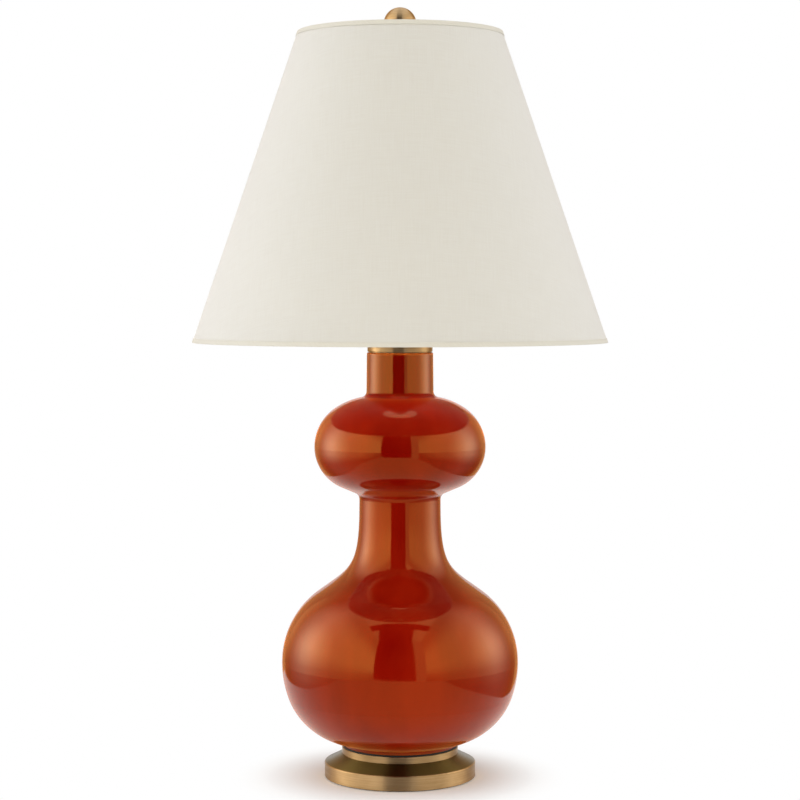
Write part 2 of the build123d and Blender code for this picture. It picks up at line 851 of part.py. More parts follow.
def make_terminal_screws():
    """Two terminal screws on the flats of the block."""
    screw = turned(
        (0, -terminal_shank_length),
        (terminal_shank_radius, -terminal_shank_length),
        (terminal_shank_radius, 0),
        (terminal_head_radius, 0),
        (terminal_head_radius, terminal_head_height, terminal_head_height / 2),
        (0, terminal_head_height),
    )
    height = block_foot + terminal_height
    screws = [
        Pos(side * block_flat, 0, height) * Rot(0, side * 90, 0) * screw
        for side in (-1, 1)
    ]
    return Compound(children=[solid for screw in screws for solid in screw.solids()])


# ---------------------------------------------------------------- turn key
def make_switch_shaft():
    """Shaft of the turn key, from the block into the knob."""
    start = switch_boss_face - switch_shaft_depth
    length = switch_shaft_depth + knob_standoff + key_reach
    shaft = Cylinder(switch_shaft_radius, length, align=base_up)
    return Pos(0, -start, switch_axis) * facing_front * shaft


def make_switch_knob():
    """Fluted knob of the turn key, bored for its shaft."""
    bore = switch_shaft_radius + slip_gap
    knob = turned(
        (bore, 0),
        (knob_root_radius, 0, knob_edge / 2),
        (knob_tip_radius, knob_length, knob_edge),
        (0, knob_length),
        (0, key_reach + slip_gap),
        (bore, key_reach + slip_gap),
    )
    lean = degrees(atan2(knob_tip_radius - knob_root_radius, knob_length))
    flute = Cylinder(knob_flute_radius, knob_length * 3)
    for turn in range(knob_flute_count):
        along_side = Pos(knob_root_radius + knob_flute_radius / 2, 0, 0) * Rot(0, lean, 0)
        knob -= Rot(0, 0, turn * 360 / knob_flute_count) * along_side * flute
    return Pos(0, -switch_boss_face - knob_standoff, switch_axis) * facing_front * knob


# ---------------------------------------------------------------- lamp bulb
def lamp_section(inset):
    """Half section of the bulb's glass, drawn in from its outer face by inset."""
    globe = lamp_globe_radius - inset
    throat = lamp_throat_radius - inset
    centre = (0, lamp_crown - lamp_globe_radius)
    foot = (throat, lamp_cap_top - lamp_seal_depth)
    cheek = on_arc(centre, globe, -lamp_globe_sweep)
    pull = lamp_throat_pull * (cheek[1] - foot[1])
    outline = [
        Line((0, foot[1]), foot),
        Bezier(
            foot,
            (foot[0], foot[1] + pull),
            on_arc(cheek, -pull, 90 - lamp_globe_sweep),
            cheek,
        ),
        arc_between(centre, globe, -lamp_globe_sweep, 90),
        Line((0, centre[1] + globe), (0, foot[1])),
    ]
    return make_face(outline)


def make_bulb_glass():
    """Frosted glass envelope, sealed into the metal cap."""
    return spin(lamp_section(0)) - spin(lamp_section(lamp_glass_wall))


def make_bulb_cap():
    """Metal screw cap of the bulb, turned in at its foot."""
    inner = lamp_cap_radius - lamp_cap_wall
    lip = lamp_insulator_radius
    return turned(
        (lip, lamp_cap_foot),
        (lamp_cap_radius, lamp_cap_foot, lamp_cap_wall * 2),
        (lamp_cap_radius, lamp_cap_top),
        (inner, lamp_cap_top),
        (inner, lamp_cap_foot + lamp_cap_wall, lamp_cap_wall),
        (lip, lamp_cap_foot + lamp_cap_wall),
    )


def make_bulb_insulator():
    """Black glass between the cap and the contact."""
    shoulder = (lamp_insulator_radius + lamp_contact_radius) / 2
    return turned(
        (0, insulator_foot),
        (shoulder, insulator_foot),
        (lamp_insulator_radius, lamp_cap_foot),
        (0, lamp_cap_foot),
    )


def make_bulb_contact():
    """Soldered centre contact of the bulb."""
    return turned(
        (0, lamp_foot),
        (lamp_contact_radius, lamp_foot, lamp_contact_edge),
        (lamp_contact_radius, insulator_foot),
        (0, insulator_foot),
    )


pieces = {
    "felt_pad": make_felt_pad,
    "base_plinth": make_base_plinth,
    "cord_bushing": make_cord_bushing,
    "seat_ring": make_seat_ring,
    "base_gasket": make_base_gasket,
    "base_weight": make_base_weight,
    "lock_washer": make_lock_washer,
    "lock_nut": lambda: hex_nut(lower_nut_under),
    "lamp_pipe": make_lamp_pipe,
    "ceramic_body": make_ceramic_body,
    "foot_washer": make_foot_washer,
    "body_cap": make_body_cap,
    "cap_nut": lambda: hex_nut(cap_top),
    "riser": make_riser,
    "harp_saddle": make_harp_saddle,
    "harp_bow": make_harp_bow,
    "harp_stud": make_harp_stud,
    "ferrule_left": lambda: make_ferrule(-1),
    "ferrule_right": lambda: make_ferrule(1),
    "shade_panel": make_shade_panel,
    "shade_top_trim": lambda: make_hem(shade_rim, -1),
    "shade_bottom_trim": lambda: make_hem(shade_foot, 1),
    "shade_top_ring": lambda: make_wire_ring(shade_rim, -1),
    "shade_bottom_ring": lambda: make_wire_ring(shade_foot, 1),
    "spider_arms": make_spider_arms,
    "spider_washer": make_spider_washer,
    "finial_base": make_finial_base,
    "finial_ball": make_finial_ball,
    "socket_cap": make_socket_cap,
    "socket_shell": make_socket_shell,
    "socket_liner": make_socket_liner,
    "socket_block": make_socket_block,
    "screw_shell": make_screw_shell,
    "centre_contact": make_centre_contact,
    "terminal_screws": make_terminal_screws,
    "switch_shaft": make_switch_shaft,
    "switch_knob": make_switch_knob,
    "bulb_glass": make_bulb_glass,
    "bulb_cap": make_bulb_cap,
    "bulb_insulator": make_bulb_insulator,
    "bulb_contact": make_bulb_contact,
}

os.makedirs("parts", exist_ok=True)
for name, make in pieces.items():
    export_step(make(), f"parts/{name}.step")
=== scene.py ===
import logging
import math
from dataclasses import dataclass
from enum import Enum
from typing import Sequence

import bmesh
import bpy
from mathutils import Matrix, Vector


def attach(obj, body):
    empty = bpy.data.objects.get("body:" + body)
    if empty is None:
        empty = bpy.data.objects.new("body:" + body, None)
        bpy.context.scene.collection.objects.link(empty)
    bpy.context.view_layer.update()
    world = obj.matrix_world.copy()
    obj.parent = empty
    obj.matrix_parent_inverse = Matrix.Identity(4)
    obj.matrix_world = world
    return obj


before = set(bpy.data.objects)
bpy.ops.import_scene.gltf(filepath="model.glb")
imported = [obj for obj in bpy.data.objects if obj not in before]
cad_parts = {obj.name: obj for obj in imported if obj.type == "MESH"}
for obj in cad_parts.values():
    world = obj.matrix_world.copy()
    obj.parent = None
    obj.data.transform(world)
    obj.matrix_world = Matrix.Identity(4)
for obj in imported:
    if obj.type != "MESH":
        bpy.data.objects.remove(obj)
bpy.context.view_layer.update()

log = logging.getLogger("gourd_lamp")
MM = 0.001
ONE_NOISE = (0.3, 0.7)     # levels of one noise that are drawn out to a full range
TWO_NOISES = (0.7, 1.3)    # the same for the sum of two
SMOOTH = {"interpolation_type": "SMOOTHSTEP"}
CLOTH = {"Sheen Weight": 0.15, "Sheen Roughness": 0.6, "Specular IOR Level": 0.25}  # fuzz and dull gloss


class Body(Enum):
    """Bodies of the lamp that move on their own."""

    LAMP = "lamp"
    SHADE = "shade"
    FINIAL = "finial"
    BULB = "bulb"
    TURN_KEY = "turn_key"
    FERRULE_LEFT = "ferrule_left"
    FERRULE_RIGHT = "ferrule_right"


class Slot(Enum):
    """Material slots of the record."""

    FELT = "felt"
    ANTIQUE_BRASS = "antique_brass"
    SOCKET_BRASS = "socket_brass"
    RUBBER = "rubber"
    CAST_IRON = "cast_iron"
    ZINC_STEEL = "zinc_steel"
    GLAZE = "glaze"
    SHADE_PAPER = "shade_paper"
    SHADE_TAPE = "shade_tape"
    RING_STEEL = "ring_steel"
    FIBRE = "fibre"
    PHENOLIC = "phenolic"
    ALUMINIUM = "aluminium"
    KNOB_PLASTIC = "knob_plastic"
    FROSTED_GLASS = "frosted_glass"
    BLACK_GLASS = "black_glass"
    SOLDER = "solder"


# ---------------------------------------------------------------- small tools
def linear(colour: str) -> tuple[float, float, float, float]:
    """Turn an sRGB hex colour to linear.

    Args:
        colour: Six hex digits after a hash.

    Returns:
        Red, green, blue and an alpha of one.
    """
    parts = [int(colour[i:i + 2], 16) / 255 for i in (1, 3, 5)]
    return (*[c / 12.92 if c <= 0.04045 else ((c + 0.055) / 1.055) ** 2.4 for c in parts], 1.0)


def add_node(
    tree: bpy.types.NodeTree,
    kind: str,
    settings: dict[str, object] | None = None,
    links: dict[str | int, object] | None = None,
) -> bpy.types.Node:
    """Add a shader node with its settings and links.

    Args:
        tree: The tree that takes the node.
        kind: Blender's name of the node's type.
        settings: The node's own properties.
        links: A value or an output socket for each input, by its name or number.

    Returns:
        The new node.
    """
    node = tree.nodes.new(kind)
    for name, value in (settings or {}).items():
        setattr(node, name, value)
    for name, value in (links or {}).items():
        if isinstance(value, bpy.types.NodeSocket):
            tree.links.new(value, node.inputs[name])
        else:
            node.inputs[name].default_value = value
    return node


# ---------------------------------------------------------------- finishes
@dataclass(frozen=True)
class Finish:
    """One material: a shader whose constant values stand on its own sockets."""

    slot: Slot

    def constants(self) -> dict[str, object]:
        """Values that are the same all over the surface.

        Returns:
            A value for each of the shader's sockets that has one.
        """
        return {}

    def paint(self, tree: bpy.types.NodeTree, shader: bpy.types.Node) -> None:
        """Link what changes over the surface.

        Args:
            tree: The material's node tree.
            shader: Its Principled shader.
        """
        raise NotImplementedError

    def material(self) -> bpy.types.Material:
        """Build the material.

        Returns:
            The new material, named after its slot.
        """
        material = bpy.data.materials.new(self.slot.value)
        material.use_nodes = True
        tree = material.node_tree
        shader = tree.nodes["Principled BSDF"]
        for name, value in self.constants().items():
            shader.inputs[name].default_value = value
        self.paint(tree, shader)
        return material


def place(tree: bpy.types.NodeTree) -> bpy.types.NodeSocket:
    """Place on the object, in metres.

    Args:
        tree: The material's node tree.

    Returns:
        The place as a vector.
    """
    return add_node(tree, "ShaderNodeTexCoord").outputs["Object"]


def turned_place(tree: bpy.types.NodeTree) -> tuple[bpy.types.NodeSocket, ...]:
    """Place on a piece turned about the lamp's axis.

    Args:
        tree: The material's node tree.

    Returns:
        Radius, angle from the front, which jumps at the rear, and height.
    """
    axes = add_node(tree, "ShaderNodeSeparateXYZ", links={0: place(tree)}).outputs
    flat = add_node(tree, "ShaderNodeCombineXYZ", links={0: axes[0], 1: axes[1]}).outputs[0]
    radius = add_node(tree, "ShaderNodeVectorMath", {"operation": "LENGTH"}, {0: flat})
    ahead = add_node(tree, "ShaderNodeMath", {"operation": "MULTIPLY"}, {
        0: axes[1], 1: -1.0}).outputs[0]
    angle = add_node(tree, "ShaderNodeMath", {"operation": "ARCTAN2"}, {0: axes[0], 1: ahead})
    return radius.outputs["Value"], angle.outputs[0], axes[2]


def mixed(
    tree: bpy.types.NodeTree,
    share: object,
    first: object,
    second: object,
) -> bpy.types.NodeSocket:
    """Blend of two colours.

    Args:
        tree: The material's node tree.
        share: How much of the second colour shows.
        first: Colour or socket.
        second: Colour or socket.

    Returns:
        The blended colour.
    """
    node = add_node(tree, "ShaderNodeMix", {"data_type": "RGBA"}, {0: share, 6: first, 7: second})
    return node.outputs[2]


def seen(tree: bpy.types.NodeTree) -> bpy.types.NodeSocket:
    """One for a ray from the camera, a reflection or a ray through glass, and zero for the rest.

    Args:
        tree: The material's or the world's node tree.

    Returns:
        The share.
    """
    path = add_node(tree, "ShaderNodeLightPath").outputs
    share = path["Is Camera Ray"]
    for name in ("Is Glossy Ray", "Is Transmission Ray"):
        share = add_node(tree, "ShaderNodeMath", {"operation": "MAXIMUM"}, {
            0: share, 1: path[name]}).outputs[0]
    return share


@dataclass(frozen=True)
class CinnabarGlaze(Finish):
    """Slip-cast stoneware with a poured cinnabar glaze, fired to a high gloss.

    The glaze is deep red where it lies thick; bands at the lip and foot are thin glaze plus painted
    highlight.
    """

    slot: Slot = Slot.GLAZE
    thick: str = "#820802"
    thin: str = "#941504"
    # painted highlight: the orange laid in bands at the lip and the foot
    edge: str = "#D0601E"
    rim: str = "#E07C30"
    speck: str = "#5A0602"
    reflection: str = "#FFB55A"
    run_mm: float = 40.0       # soft vertical runs of the poured glaze
    run_stretch: tuple[float, float, float] = (1, 1, 0.3)
    run_levels: tuple[float, float] = (0.36, 0.66)
    speck_mm: float = 1.1      # iron specks
    speck_levels: tuple[float, float] = (0.64, 0.78)
    speck_share: float = 0.35  # of their own colour, where a speck is strongest
    peel_mm: float = 9.0       # ripple of a thick glaze
    peel_depth: float = 0.00006
    gloss: tuple[float, float] = (0.05, 0.09)
    lip: tuple[float, float] = (0.4206, 0.4228)   # heights of the top band: glaze thin over the lip, and a painted highlight
    foot: tuple[float, float] = (0.0314, 0.0322)  # and of the bottom band: glaze thin at the foot, and a painted reflection of the brass ring

    def constants(self) -> dict[str, object]:
        """Hard gloss whose reflections take the colour of the glass, and its glow at a grazing angle."""
        return {
            "IOR": 1.6, "Specular Tint": linear(self.reflection),
            "Sheen Weight": 1.0, "Sheen Roughness": 0.3, "Sheen Tint": linear(self.rim),
        }

    def paint(self, tree: bpy.types.NodeTree, shader: bpy.types.Node) -> None:
        """Runs, specks, edge bands of thin glaze with their painted highlight, and a faint ripple."""
        where = place(tree)
        height = add_node(tree, "ShaderNodeSeparateXYZ", links={0: where}).outputs[2]
        stretched = add_node(tree, "ShaderNodeVectorMath", {"operation": "MULTIPLY"}, {
            0: where, 1: self.run_stretch})
        runs = add_node(tree, "ShaderNodeTexNoise", links={
            "Vector": stretched.outputs[0], "Scale": 1 / (self.run_mm * MM),
            "Detail": 3.0, "Roughness": 0.45})
        share = add_node(tree, "ShaderNodeMapRange", links={
            "Value": runs.outputs[0], "From Min": self.run_levels[0], "From Max": self.run_levels[1]})
        body = mixed(tree, share.outputs[0], linear(self.thick), linear(self.thin))
        specks = add_node(tree, "ShaderNodeTexNoise", links={
            "Vector": where, "Scale": 1 / (self.speck_mm * MM), "Detail": 2.0})
        dark = add_node(tree, "ShaderNodeMapRange", links={
            "Value": specks.outputs[0], "From Min": self.speck_levels[0],
            "From Max": self.speck_levels[1], "To Max": self.speck_share})
        speckled = mixed(tree, dark.outputs[0], body, linear(self.speck))
        # Painted highlight: the orange edge colour goes on in bands at the lip and the foot, partly thin
        # glaze
        lip = add_node(tree, "ShaderNodeMapRange", SMOOTH, {
            "Value": height, "From Min": self.lip[0], "From Max": self.lip[1]})
        foot = add_node(tree, "ShaderNodeMapRange", SMOOTH, {
            "Value": height, "From Min": self.foot[1], "From Max": self.foot[0]})
        edges = add_node(tree, "ShaderNodeMath", {"operation": "MAXIMUM"}, {
            0: lip.outputs[0], 1: foot.outputs[0]})
        colour = mixed(tree, edges.outputs[0], speckled, linear(self.edge))
        tree.links.new(colour, shader.inputs["Base Color"])
        gloss = add_node(tree, "ShaderNodeMapRange", links={
            "Value": runs.outputs[0], "To Min": self.gloss[0], "To Max": self.gloss[1]})
        tree.links.new(gloss.outputs[0], shader.inputs["Roughness"])
        ripple = add_node(tree, "ShaderNodeTexNoise", links={
            "Vector": where, "Scale": 1 / (self.peel_mm * MM), "Detail": 1.0})
        bump = add_node(tree, "ShaderNodeBump", links={
            "Strength": 0.35, "Distance": self.peel_depth, "Height": ripple.outputs[0]})
        tree.links.new(bump.outputs[0], shader.inputs["Normal"])


@dataclass(frozen=True)
class TurnedBrass(Finish):
    """Brass spun and turned on a lathe, then toned dark and rubbed back.

    Fine rings run round the piece, the dark tone stays in them, and the base's bevel gets painted shade.
    """

    slot: Slot = Slot.ANTIQUE_BRASS
    rubbed: str = "#B0946F"
    toned: str = "#967B56"
    # painted shade: the colour laid on the base's bevel, which mirrors the dark gourd above
    dark: str = "#655731"
    ring_mm: float = 0.7       # tool marks of 0.2 mm, drawn coarser so that they show
    drift: float = 2.0         # ring widths that the marks' noise moves on in a radian round the piece
    cloud_mm: float = 30.0
    gloss: tuple[float, float] = (0.38, 0.44)
    groove: float = 0.000003   # depth of the tool marks
    painted_bevel_shade: tuple[float, float] = (0.0152, 0.0233)  # heights of the base's bevel, painted dark as shade between its bright edges
    buffed_above: float = 0.4  # the fittings over the ceramic are buffed brighter
    buffed: float = 0.8        # their share of the base's roughness

    def constants(self) -> dict[str, object]:
        """Bare metal whose fine rings draw each reflection out across them."""
        return {"Metallic": 1.0, "Anisotropic": 0.95, "Anisotropic Rotation": 0.25}

    def paint(self, tree: bpy.types.NodeTree, shader: bpy.types.Node) -> None:
        """Rings of the tool under clouds of the toning, and painted shade on the bevel."""
        radius, angle, height = turned_place(tree)
        slow = add_node(tree, "ShaderNodeMath", {"operation": "MULTIPLY"}, {
            0: angle, 1: self.drift * self.ring_mm * MM})
        along = add_node(tree, "ShaderNodeCombineXYZ", links={0: radius, 1: slow.outputs[0], 2: height})
        rings = add_node(tree, "ShaderNodeTexNoise", links={
            "Vector": along.outputs[0], "Scale": 1 / (self.ring_mm * MM), "Detail": 2.0, "Roughness": 0.6})
        clouds = add_node(tree, "ShaderNodeTexNoise", links={
            "Vector": place(tree), "Scale": 1 / (self.cloud_mm * MM), "Detail": 4.0})
        both = add_node(tree, "ShaderNodeMath", {"operation": "ADD"}, {
            0: rings.outputs[0], 1: clouds.outputs[0]})
        share = add_node(tree, "ShaderNodeMapRange", links={
            "Value": both.outputs[0], "From Min": TWO_NOISES[0], "From Max": TWO_NOISES[1]})
        metal = mixed(tree, share.outputs[0], linear(self.rubbed), linear(self.toned))
        # Painted shade: a band of the dark colour all round the bevel's heights
        above = add_node(tree, "ShaderNodeMath", {"operation": "GREATER_THAN"}, {
            0: height, 1: self.painted_bevel_shade[0]})
        below = add_node(tree, "ShaderNodeMath", {"operation": "LESS_THAN"}, {
            0: height, 1: self.painted_bevel_shade[1]})
        in_bevel_shade = add_node(tree, "ShaderNodeMath", {"operation": "MULTIPLY"}, {
            0: above.outputs[0], 1: below.outputs[0]})
        colour = mixed(tree, in_bevel_shade.outputs[0], metal, linear(self.dark))
        tree.links.new(colour, shader.inputs["Base Color"])
        gloss = add_node(tree, "ShaderNodeMapRange", links={
            "Value": rings.outputs[0], "From Min": ONE_NOISE[0], "From Max": ONE_NOISE[1],
            "To Min": self.gloss[0], "To Max": self.gloss[1]})
        high = add_node(tree, "ShaderNodeMath", {"operation": "GREATER_THAN"}, {
            0: height, 1: self.buffed_above})
        buffing = add_node(tree, "ShaderNodeMapRange", links={
            "Value": high.outputs[0], "To Min": 1.0, "To Max": self.buffed})
        roughness = add_node(tree, "ShaderNodeMath", {"operation": "MULTIPLY"}, {
            0: gloss.outputs[0], 1: buffing.outputs[0]})
        tree.links.new(roughness.outputs[0], shader.inputs["Roughness"])
        bump = add_node(tree, "ShaderNodeBump", links={
            "Strength": 0.5, "Distance": self.groove, "Height": rings.outputs[0]})
        tree.links.new(bump.outputs[0], shader.inputs["Normal"])


@dataclass(frozen=True)
class LaminatedLinen(Finish):
    """Natural linen laid on a styrene sheet and rolled to a cone.

    Threads cross at right angles on the flat sheet, so they lean as they near the rear seam.
    """

    slot: Slot = Slot.SHADE_PAPER
    warp: str = "#F4F2EA"
    weft: str = "#F0EDE4"
    cone_sine: float = 0.32347  # sine of the shade's half angle, which lays the cone flat
    thread_mm: float = 1.0      # threads of 0.5 mm, drawn coarser so that they show
    slub_mm: float = 30.0
    thread_depth: float = 0.00004
    glow_depth: float = 0.0025  # how far light wanders in the cloth and its backing

    def constants(self) -> dict[str, object]:
        """Dull cloth with a little fuzz, which lets some light through."""
        return {
            "Roughness": 0.85, **CLOTH, "Subsurface Weight": 1.0,
            "Subsurface Radius": (1.0, 1.0, 1.0), "Subsurface Scale": self.glow_depth,
        }

    def paint(self, tree: bpy.types.NodeTree, shader: bpy.types.Node) -> None:
        """Two sets of uneven threads on the flat pattern."""
        radius, angle, _ = turned_place(tree)
        slant = add_node(tree, "ShaderNodeMath", {"operation": "DIVIDE"}, {0: radius, 1: self.cone_sine})
        flat_angle = add_node(tree, "ShaderNodeMath", {"operation": "MULTIPLY"}, {
            0: angle, 1: self.cone_sine})
        sets = []
        for turn in ("SINE", "COSINE"):
            part = add_node(tree, "ShaderNodeMath", {"operation": turn}, {0: flat_angle.outputs[0]})
            sets.append(add_node(tree, "ShaderNodeMath", {"operation": "MULTIPLY"}, {
                0: slant.outputs[0], 1: part.outputs[0]}).outputs[0])
        flat = add_node(tree, "ShaderNodeCombineXYZ", links={0: sets[0], 1: sets[1]}).outputs[0]
        across, along = 1 / (self.thread_mm * MM), 1 / (self.slub_mm * MM)
        threads = []
        for scale in ((across, along, 1), (along, across, 1)):
            spread = add_node(tree, "ShaderNodeVectorMath", {"operation": "MULTIPLY"}, {0: flat, 1: scale})
            threads.append(add_node(tree, "ShaderNodeTexNoise", links={
                "Vector": spread.outputs[0], "Scale": 1.0, "Detail": 2.0}).outputs[0])
        cloth = add_node(tree, "ShaderNodeMath", {"operation": "ADD"}, {0: threads[0], 1: threads[1]})
        share = add_node(tree, "ShaderNodeMapRange", links={
            "Value": cloth.outputs[0], "From Min": TWO_NOISES[0], "From Max": TWO_NOISES[1]})
        colour = mixed(tree, share.outputs[0], linear(self.weft), linear(self.warp))
        tree.links.new(colour, shader.inputs["Base Color"])
        bump = add_node(tree, "ShaderNodeBump", links={
            "Strength": 0.2, "Distance": self.thread_depth, "Height": cloth.outputs[0]})
        tree.links.new(bump.outputs[0], shader.inputs["Normal"])


@dataclass(frozen=True)
class CottonTape(Finish):
    """Bias-cut cotton tape folded over the shade's rim: fine ribs run across it."""

    slot: Slot = Slot.SHADE_TAPE
    rib: str = "#E5E3DA"
    between: str = "#DFDCD2"
    rib_mm: float = 1.4        # ribs of 0.6 mm, drawn coarser so that they show
    rib_levels: tuple[float, float] = (0.35, 0.65)
    rib_depth: float = 0.00005

    def constants(self) -> dict[str, object]:
        """Dull cloth."""
        return {"Roughness": 0.9, **CLOTH}

    def paint(self, tree: bpy.types.NodeTree, shader: bpy.types.Node) -> None:
        """Leaning ribs, each a little uneven."""
        radius, angle, height = turned_place(tree)
        arc = add_node(tree, "ShaderNodeMath", {"operation": "MULTIPLY"}, {0: radius, 1: angle})
        lean = add_node(tree, "ShaderNodeMath", {"operation": "ADD"}, {0: arc.outputs[0], 1: height})
        flat = add_node(tree, "ShaderNodeCombineXYZ", links={0: lean.outputs[0]})
        ribs = add_node(tree, "ShaderNodeTexNoise", links={
            "Vector": flat.outputs[0], "Scale": 1 / (self.rib_mm * MM), "Detail": 2.0})
        share = add_node(tree, "ShaderNodeMapRange", links={
            "Value": ribs.outputs[0], "From Min": self.rib_levels[0], "From Max": self.rib_levels[1]})
        colour = mixed(tree, share.outputs[0], linear(self.between), linear(self.rib))
        tree.links.new(colour, shader.inputs["Base Color"])
        bump = add_node(tree, "ShaderNodeBump", links={
            "Strength": 0.3, "Distance": self.rib_depth, "Height": ribs.outputs[0]})
        tree.links.new(bump.outputs[0], shader.inputs["Normal"])


@dataclass(frozen=True)
class Grained(Finish):
    """A plain material that shows its process in one grain, over one slow cloud of tone."""

    slot: Slot
    light: str
    dark: str
    grain_mm: float
    cloud_mm: float = 20.0
    gloss: tuple[float, float] = (0.4, 0.5)
    depth: float = 0.00002     # of the grain, in metres
    stretch: tuple[float, float, float] = (1.0, 1.0, 1.0)
    metallic: float = 0.0
    sheen: float = 0.0
    transmission: float = 0.0
    ior: float = 1.5

    def constants(self) -> dict[str, object]:
        """What the material is made of."""
        values: dict[str, object] = {"Metallic": self.metallic, "Sheen Weight": self.sheen}
        if self.transmission:
            values["Transmission Weight"] = self.transmission
        if not self.metallic:
            values["IOR"] = self.ior
        return values

    def paint(self, tree: bpy.types.NodeTree, shader: bpy.types.Node) -> None:
        """Grain in colour, gloss and relief."""
        where = place(tree)
        drawn = add_node(tree, "ShaderNodeVectorMath", {"operation": "MULTIPLY"}, {
            0: where, 1: self.stretch})
        grain = add_node(tree, "ShaderNodeTexNoise", links={
            "Vector": drawn.outputs[0], "Scale": 1 / (self.grain_mm * MM), "Detail": 3.0})
        cloud = add_node(tree, "ShaderNodeTexNoise", links={
            "Vector": where, "Scale": 1 / (self.cloud_mm * MM), "Detail": 2.0})
        both = add_node(tree, "ShaderNodeMath", {"operation": "ADD"}, {
            0: grain.outputs[0], 1: cloud.outputs[0]})
        share = add_node(tree, "ShaderNodeMapRange", links={
            "Value": both.outputs[0], "From Min": TWO_NOISES[0], "From Max": TWO_NOISES[1]})
        colour = mixed(tree, share.outputs[0], linear(self.dark), linear(self.light))
        tree.links.new(colour, shader.inputs["Base Color"])
        gloss = add_node(tree, "ShaderNodeMapRange", links={
            "Value": grain.outputs[0], "From Min": ONE_NOISE[0], "From Max": ONE_NOISE[1],
            "To Min": self.gloss[0], "To Max": self.gloss[1]})
        tree.links.new(gloss.outputs[0], shader.inputs["Roughness"])
        bump = add_node(tree, "ShaderNodeBump", links={
            "Strength": 0.5, "Distance": self.depth, "Height": grain.outputs[0]})
        tree.links.new(bump.outputs[0], shader.inputs["Normal"])


FINISHES: tuple[Finish, ...] = (
    CinnabarGlaze(),
    TurnedBrass(),
    # Bright-dipped brass drawn to a cup: a cleaner yellow with faint draw lines.
    TurnedBrass(Slot.SOCKET_BRASS, rubbed="#D9B267", toned="#B98F49", ring_mm=1.2, gloss=(0.34, 0.4)),
    LaminatedLinen(),
    CottonTape(),
    # Needled wool felt: matted fibres that scatter the light.
    Grained(Slot.FELT, "#2B2A27", "#121110", 0.9, gloss=(0.9, 1.0), depth=0.0004, sheen=0.4),
    # Moulded nitrile rubber: near black, with the bloom of its mould.
    Grained(Slot.RUBBER, "#0D0D0E", "#060607", 1.5, gloss=(0.55, 0.7), depth=0.00003, ior=1.4),
    # Sand-cast iron: coarse skin of the mould.
    Grained(Slot.CAST_IRON, "#5A5854", "#2E2C2A", 1.2, gloss=(0.55, 0.75), depth=0.0003, metallic=1.0),
    # Zinc-plated steel: cool grey, slightly cloudy.
    Grained(Slot.ZINC_STEEL, "#C9CBC7", "#9A9C98", 2.0, gloss=(0.28, 0.42), depth=0.00001, metallic=1.0),
    # Stoved white enamel on steel wire: a soft gloss with some orange peel.
    Grained(Slot.RING_STEEL, "#E9E7DF", "#D8D5CA", 2.5, gloss=(0.3, 0.42), depth=0.00004),
    # Vulcanised fibre: pressed cotton sheet, dull, with short fibres.
    Grained(Slot.FIBRE, "#3A3531", "#221F1C", 0.8, gloss=(0.6, 0.8), depth=0.00006),
    # Compression-moulded phenolic: dark brown with a fine flow.
    Grained(Slot.PHENOLIC, "#241B16", "#120D0A", 3.0, gloss=(0.28, 0.42), depth=0.00001, ior=1.6),
    # Rolled aluminium: pale, with the fine rings of spinning.
    Grained(Slot.ALUMINIUM, "#D6D7D8", "#B2B3B5", 0.8, gloss=(0.25, 0.4), depth=0.00001,
            stretch=(0.1, 0.1, 1.0), metallic=1.0),
    # Moulded urea knob: dark brown, glossy.
    Grained(Slot.KNOB_PLASTIC, "#1F1611", "#120C09", 2.5, gloss=(0.16, 0.26), depth=0.00001, ior=1.6),
    # Glass frosted inside by acid: milky white under a smooth outer skin.
    Grained(Slot.FROSTED_GLASS, "#F4F3EF", "#E6E5E0", 6.0, gloss=(0.14, 0.2), depth=0.00001,
            transmission=0.25),
    # Fused black glass.
    Grained(Slot.BLACK_GLASS, "#15151C", "#09090D", 2.0, gloss=(0.08, 0.14), depth=0.00002),
    # Tin solder, set in a low dome.
    Grained(Slot.SOLDER, "#BFC0BC", "#8E8F8B", 1.2, gloss=(0.3, 0.45), depth=0.00005, metallic=1.0),
)


class Workshop:
    """Holds the finished materials, dresses CAD nodes and adds new pieces."""

    def __init__(self, finishes: Sequence[Finish]) -> None:
        """Build every material once.

        Args:
            finishes: One finish for each slot.
        """
        self.materials = {finish.slot: finish.material() for finish in finishes}

    def dress(self, slot: Slot, *nodes: str) -> None:
        """Give CAD nodes their material.

        Args:
            slot: The material slot.
            nodes: Names of the nodes.
        """
        for name in nodes:
            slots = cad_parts[name].data.materials
            slots.clear()
            slots.append(self.materials[slot])
            log.info("%s is dressed in %s", name, slot.value)

    def add_piece(self, name: str, made: bmesh.types.BMesh, body: Body, slot: Slot) -> None:
        """Turn a finished mesh into a piece that rides on a body.

        Args:
            name: The piece's name.
            made: Its mesh, which is freed.
            body: The body that carries it.
            slot: Its material slot.
        """
        bmesh.ops.recalc_face_normals(made, faces=made.faces)
        mesh = bpy.data.meshes.new(name)
        made.to_mesh(mesh)
        made.free()
        for face in mesh.polygons:
            face.use_smooth = True
        piece = bpy.data.objects.new(name, mesh)
        bpy.context.scene.collection.objects.link(piece)
        mesh.materials.append(self.materials[slot])
        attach(piece, body.value)
        log.info("%s rides on %s", name, body.value)


# ---------------------------------------------------------------- the lamp's sub-assemblies
Dressing = tuple[tuple[Slot, tuple[str, ...]], ...]


@dataclass
class SubAssembly:
    """CAD nodes that belong together, each with the material that dresses it."""

    dressing: Dressing

    def build(self, shop: Workshop) -> None:
        """Dress the nodes.

        Args:
            shop: Holds the materials.
        """
        for slot, nodes in self.dressing:
            shop.dress(slot, *nodes)


